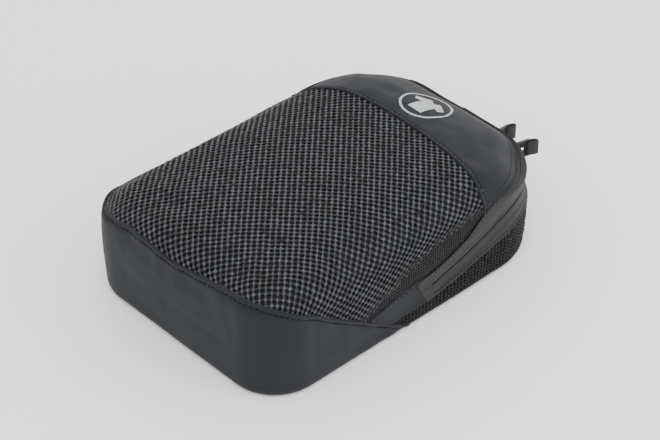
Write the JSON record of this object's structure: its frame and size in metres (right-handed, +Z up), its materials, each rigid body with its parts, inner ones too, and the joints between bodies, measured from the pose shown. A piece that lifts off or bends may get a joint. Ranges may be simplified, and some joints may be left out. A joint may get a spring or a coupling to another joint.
{
  "type": "packing cube",
  "caption": "Small soft packing cube with a mesh top, fabric front and end panels, a ribbed mesh side wall and a two-slider zipper that opens the top as a flap.",
  "frame": {"origin": "middle of the underside, on the surface the cube lies on", "axes": "+Z up, Y along the length with the rounded end panel at +Y and the front panel at -Y, X across the width"},
  "size_m": [0.14, 0.216, 0.0623],
  "materials": {
    "fabric": "matte coated ripstop",
    "top_mesh": "open knitted mesh",
    "dark_mesh": "ribbed knitted mesh",
    "zipper_tape": "woven tape",
    "zipper_coil": "satin",
    "binding": "woven tape",
    "stop": "satin",
    "print": "matte ink",
    "slider": "satin",
    "ribbon": "woven ribbon"
  },
  "bodies": {
    "pouch": {"bottom_panel": "fabric", "front_panel": "fabric", "zipper_end_patch_left": "fabric", "zipper_end_patch_right": "fabric", "top_mesh_front": "top_mesh", "gusset_mesh": "dark_mesh", "side_band_front_left": "dark_mesh", "side_band_front_right": "dark_mesh", "zipper_tape_lower": "zipper_tape", "zipper_coil_lower": "zipper_coil", "bottom_binding": "binding", "gusset_binding": "binding", "front_seam_binding": "binding", "zipper_stop_left": "stop", "zipper_stop_right": "stop"},
    "lid": {"top_mesh": "top_mesh", "end_panel": "fabric", "side_band_left": "dark_mesh", "side_band_right": "dark_mesh", "zipper_tape_upper": "zipper_tape", "zipper_coil_upper": "zipper_coil", "lid_seam_binding": "binding", "end_seam_binding": "binding", "printed_mark": "print"},
    "slider_left": {"slider_body_left": "slider"},
    "slider_right": {"slider_body_right": "slider"},
    "pull_left": {"slider_pull_left": "slider", "pull_ribbon_left": "ribbon"},
    "pull_right": {"slider_pull_right": "slider", "pull_ribbon_right": "ribbon"}
  },
  "joints": [
    {"name": "lid_fold", "type": "hinge", "parent": "pouch", "child": "lid", "pos_m": [0, -0.018, 0.0645], "axis": [1, 0, 0], "range_deg": [0, 170]},
    {"name": "left_slider_travel", "type": "slide", "parent": "pouch", "child": "slider_left", "axis": [-1, 0, 0], "range_m": [0, 0.05]},
    {"name": "right_slider_travel", "type": "hinge", "parent": "pouch", "child": "slider_right", "pos_m": [0.028, 0.058, 0.038], "axis": [0, 0, -1], "range_deg": [0, 52]},
    {"name": "left_pull_swing", "type": "hinge", "parent": "slider_left", "child": "pull_left", "pos_m": [0.024, 0.1031, 0.038], "axis": [0, 0, 1], "range_deg": [-35, 80]},
    {"name": "right_pull_swing", "type": "hinge", "parent": "slider_right", "child": "pull_right", "pos_m": [0.03891, 0.10176, 0.038], "axis": [0, 0, 1], "range_deg": [-80, 20]}
  ]
}
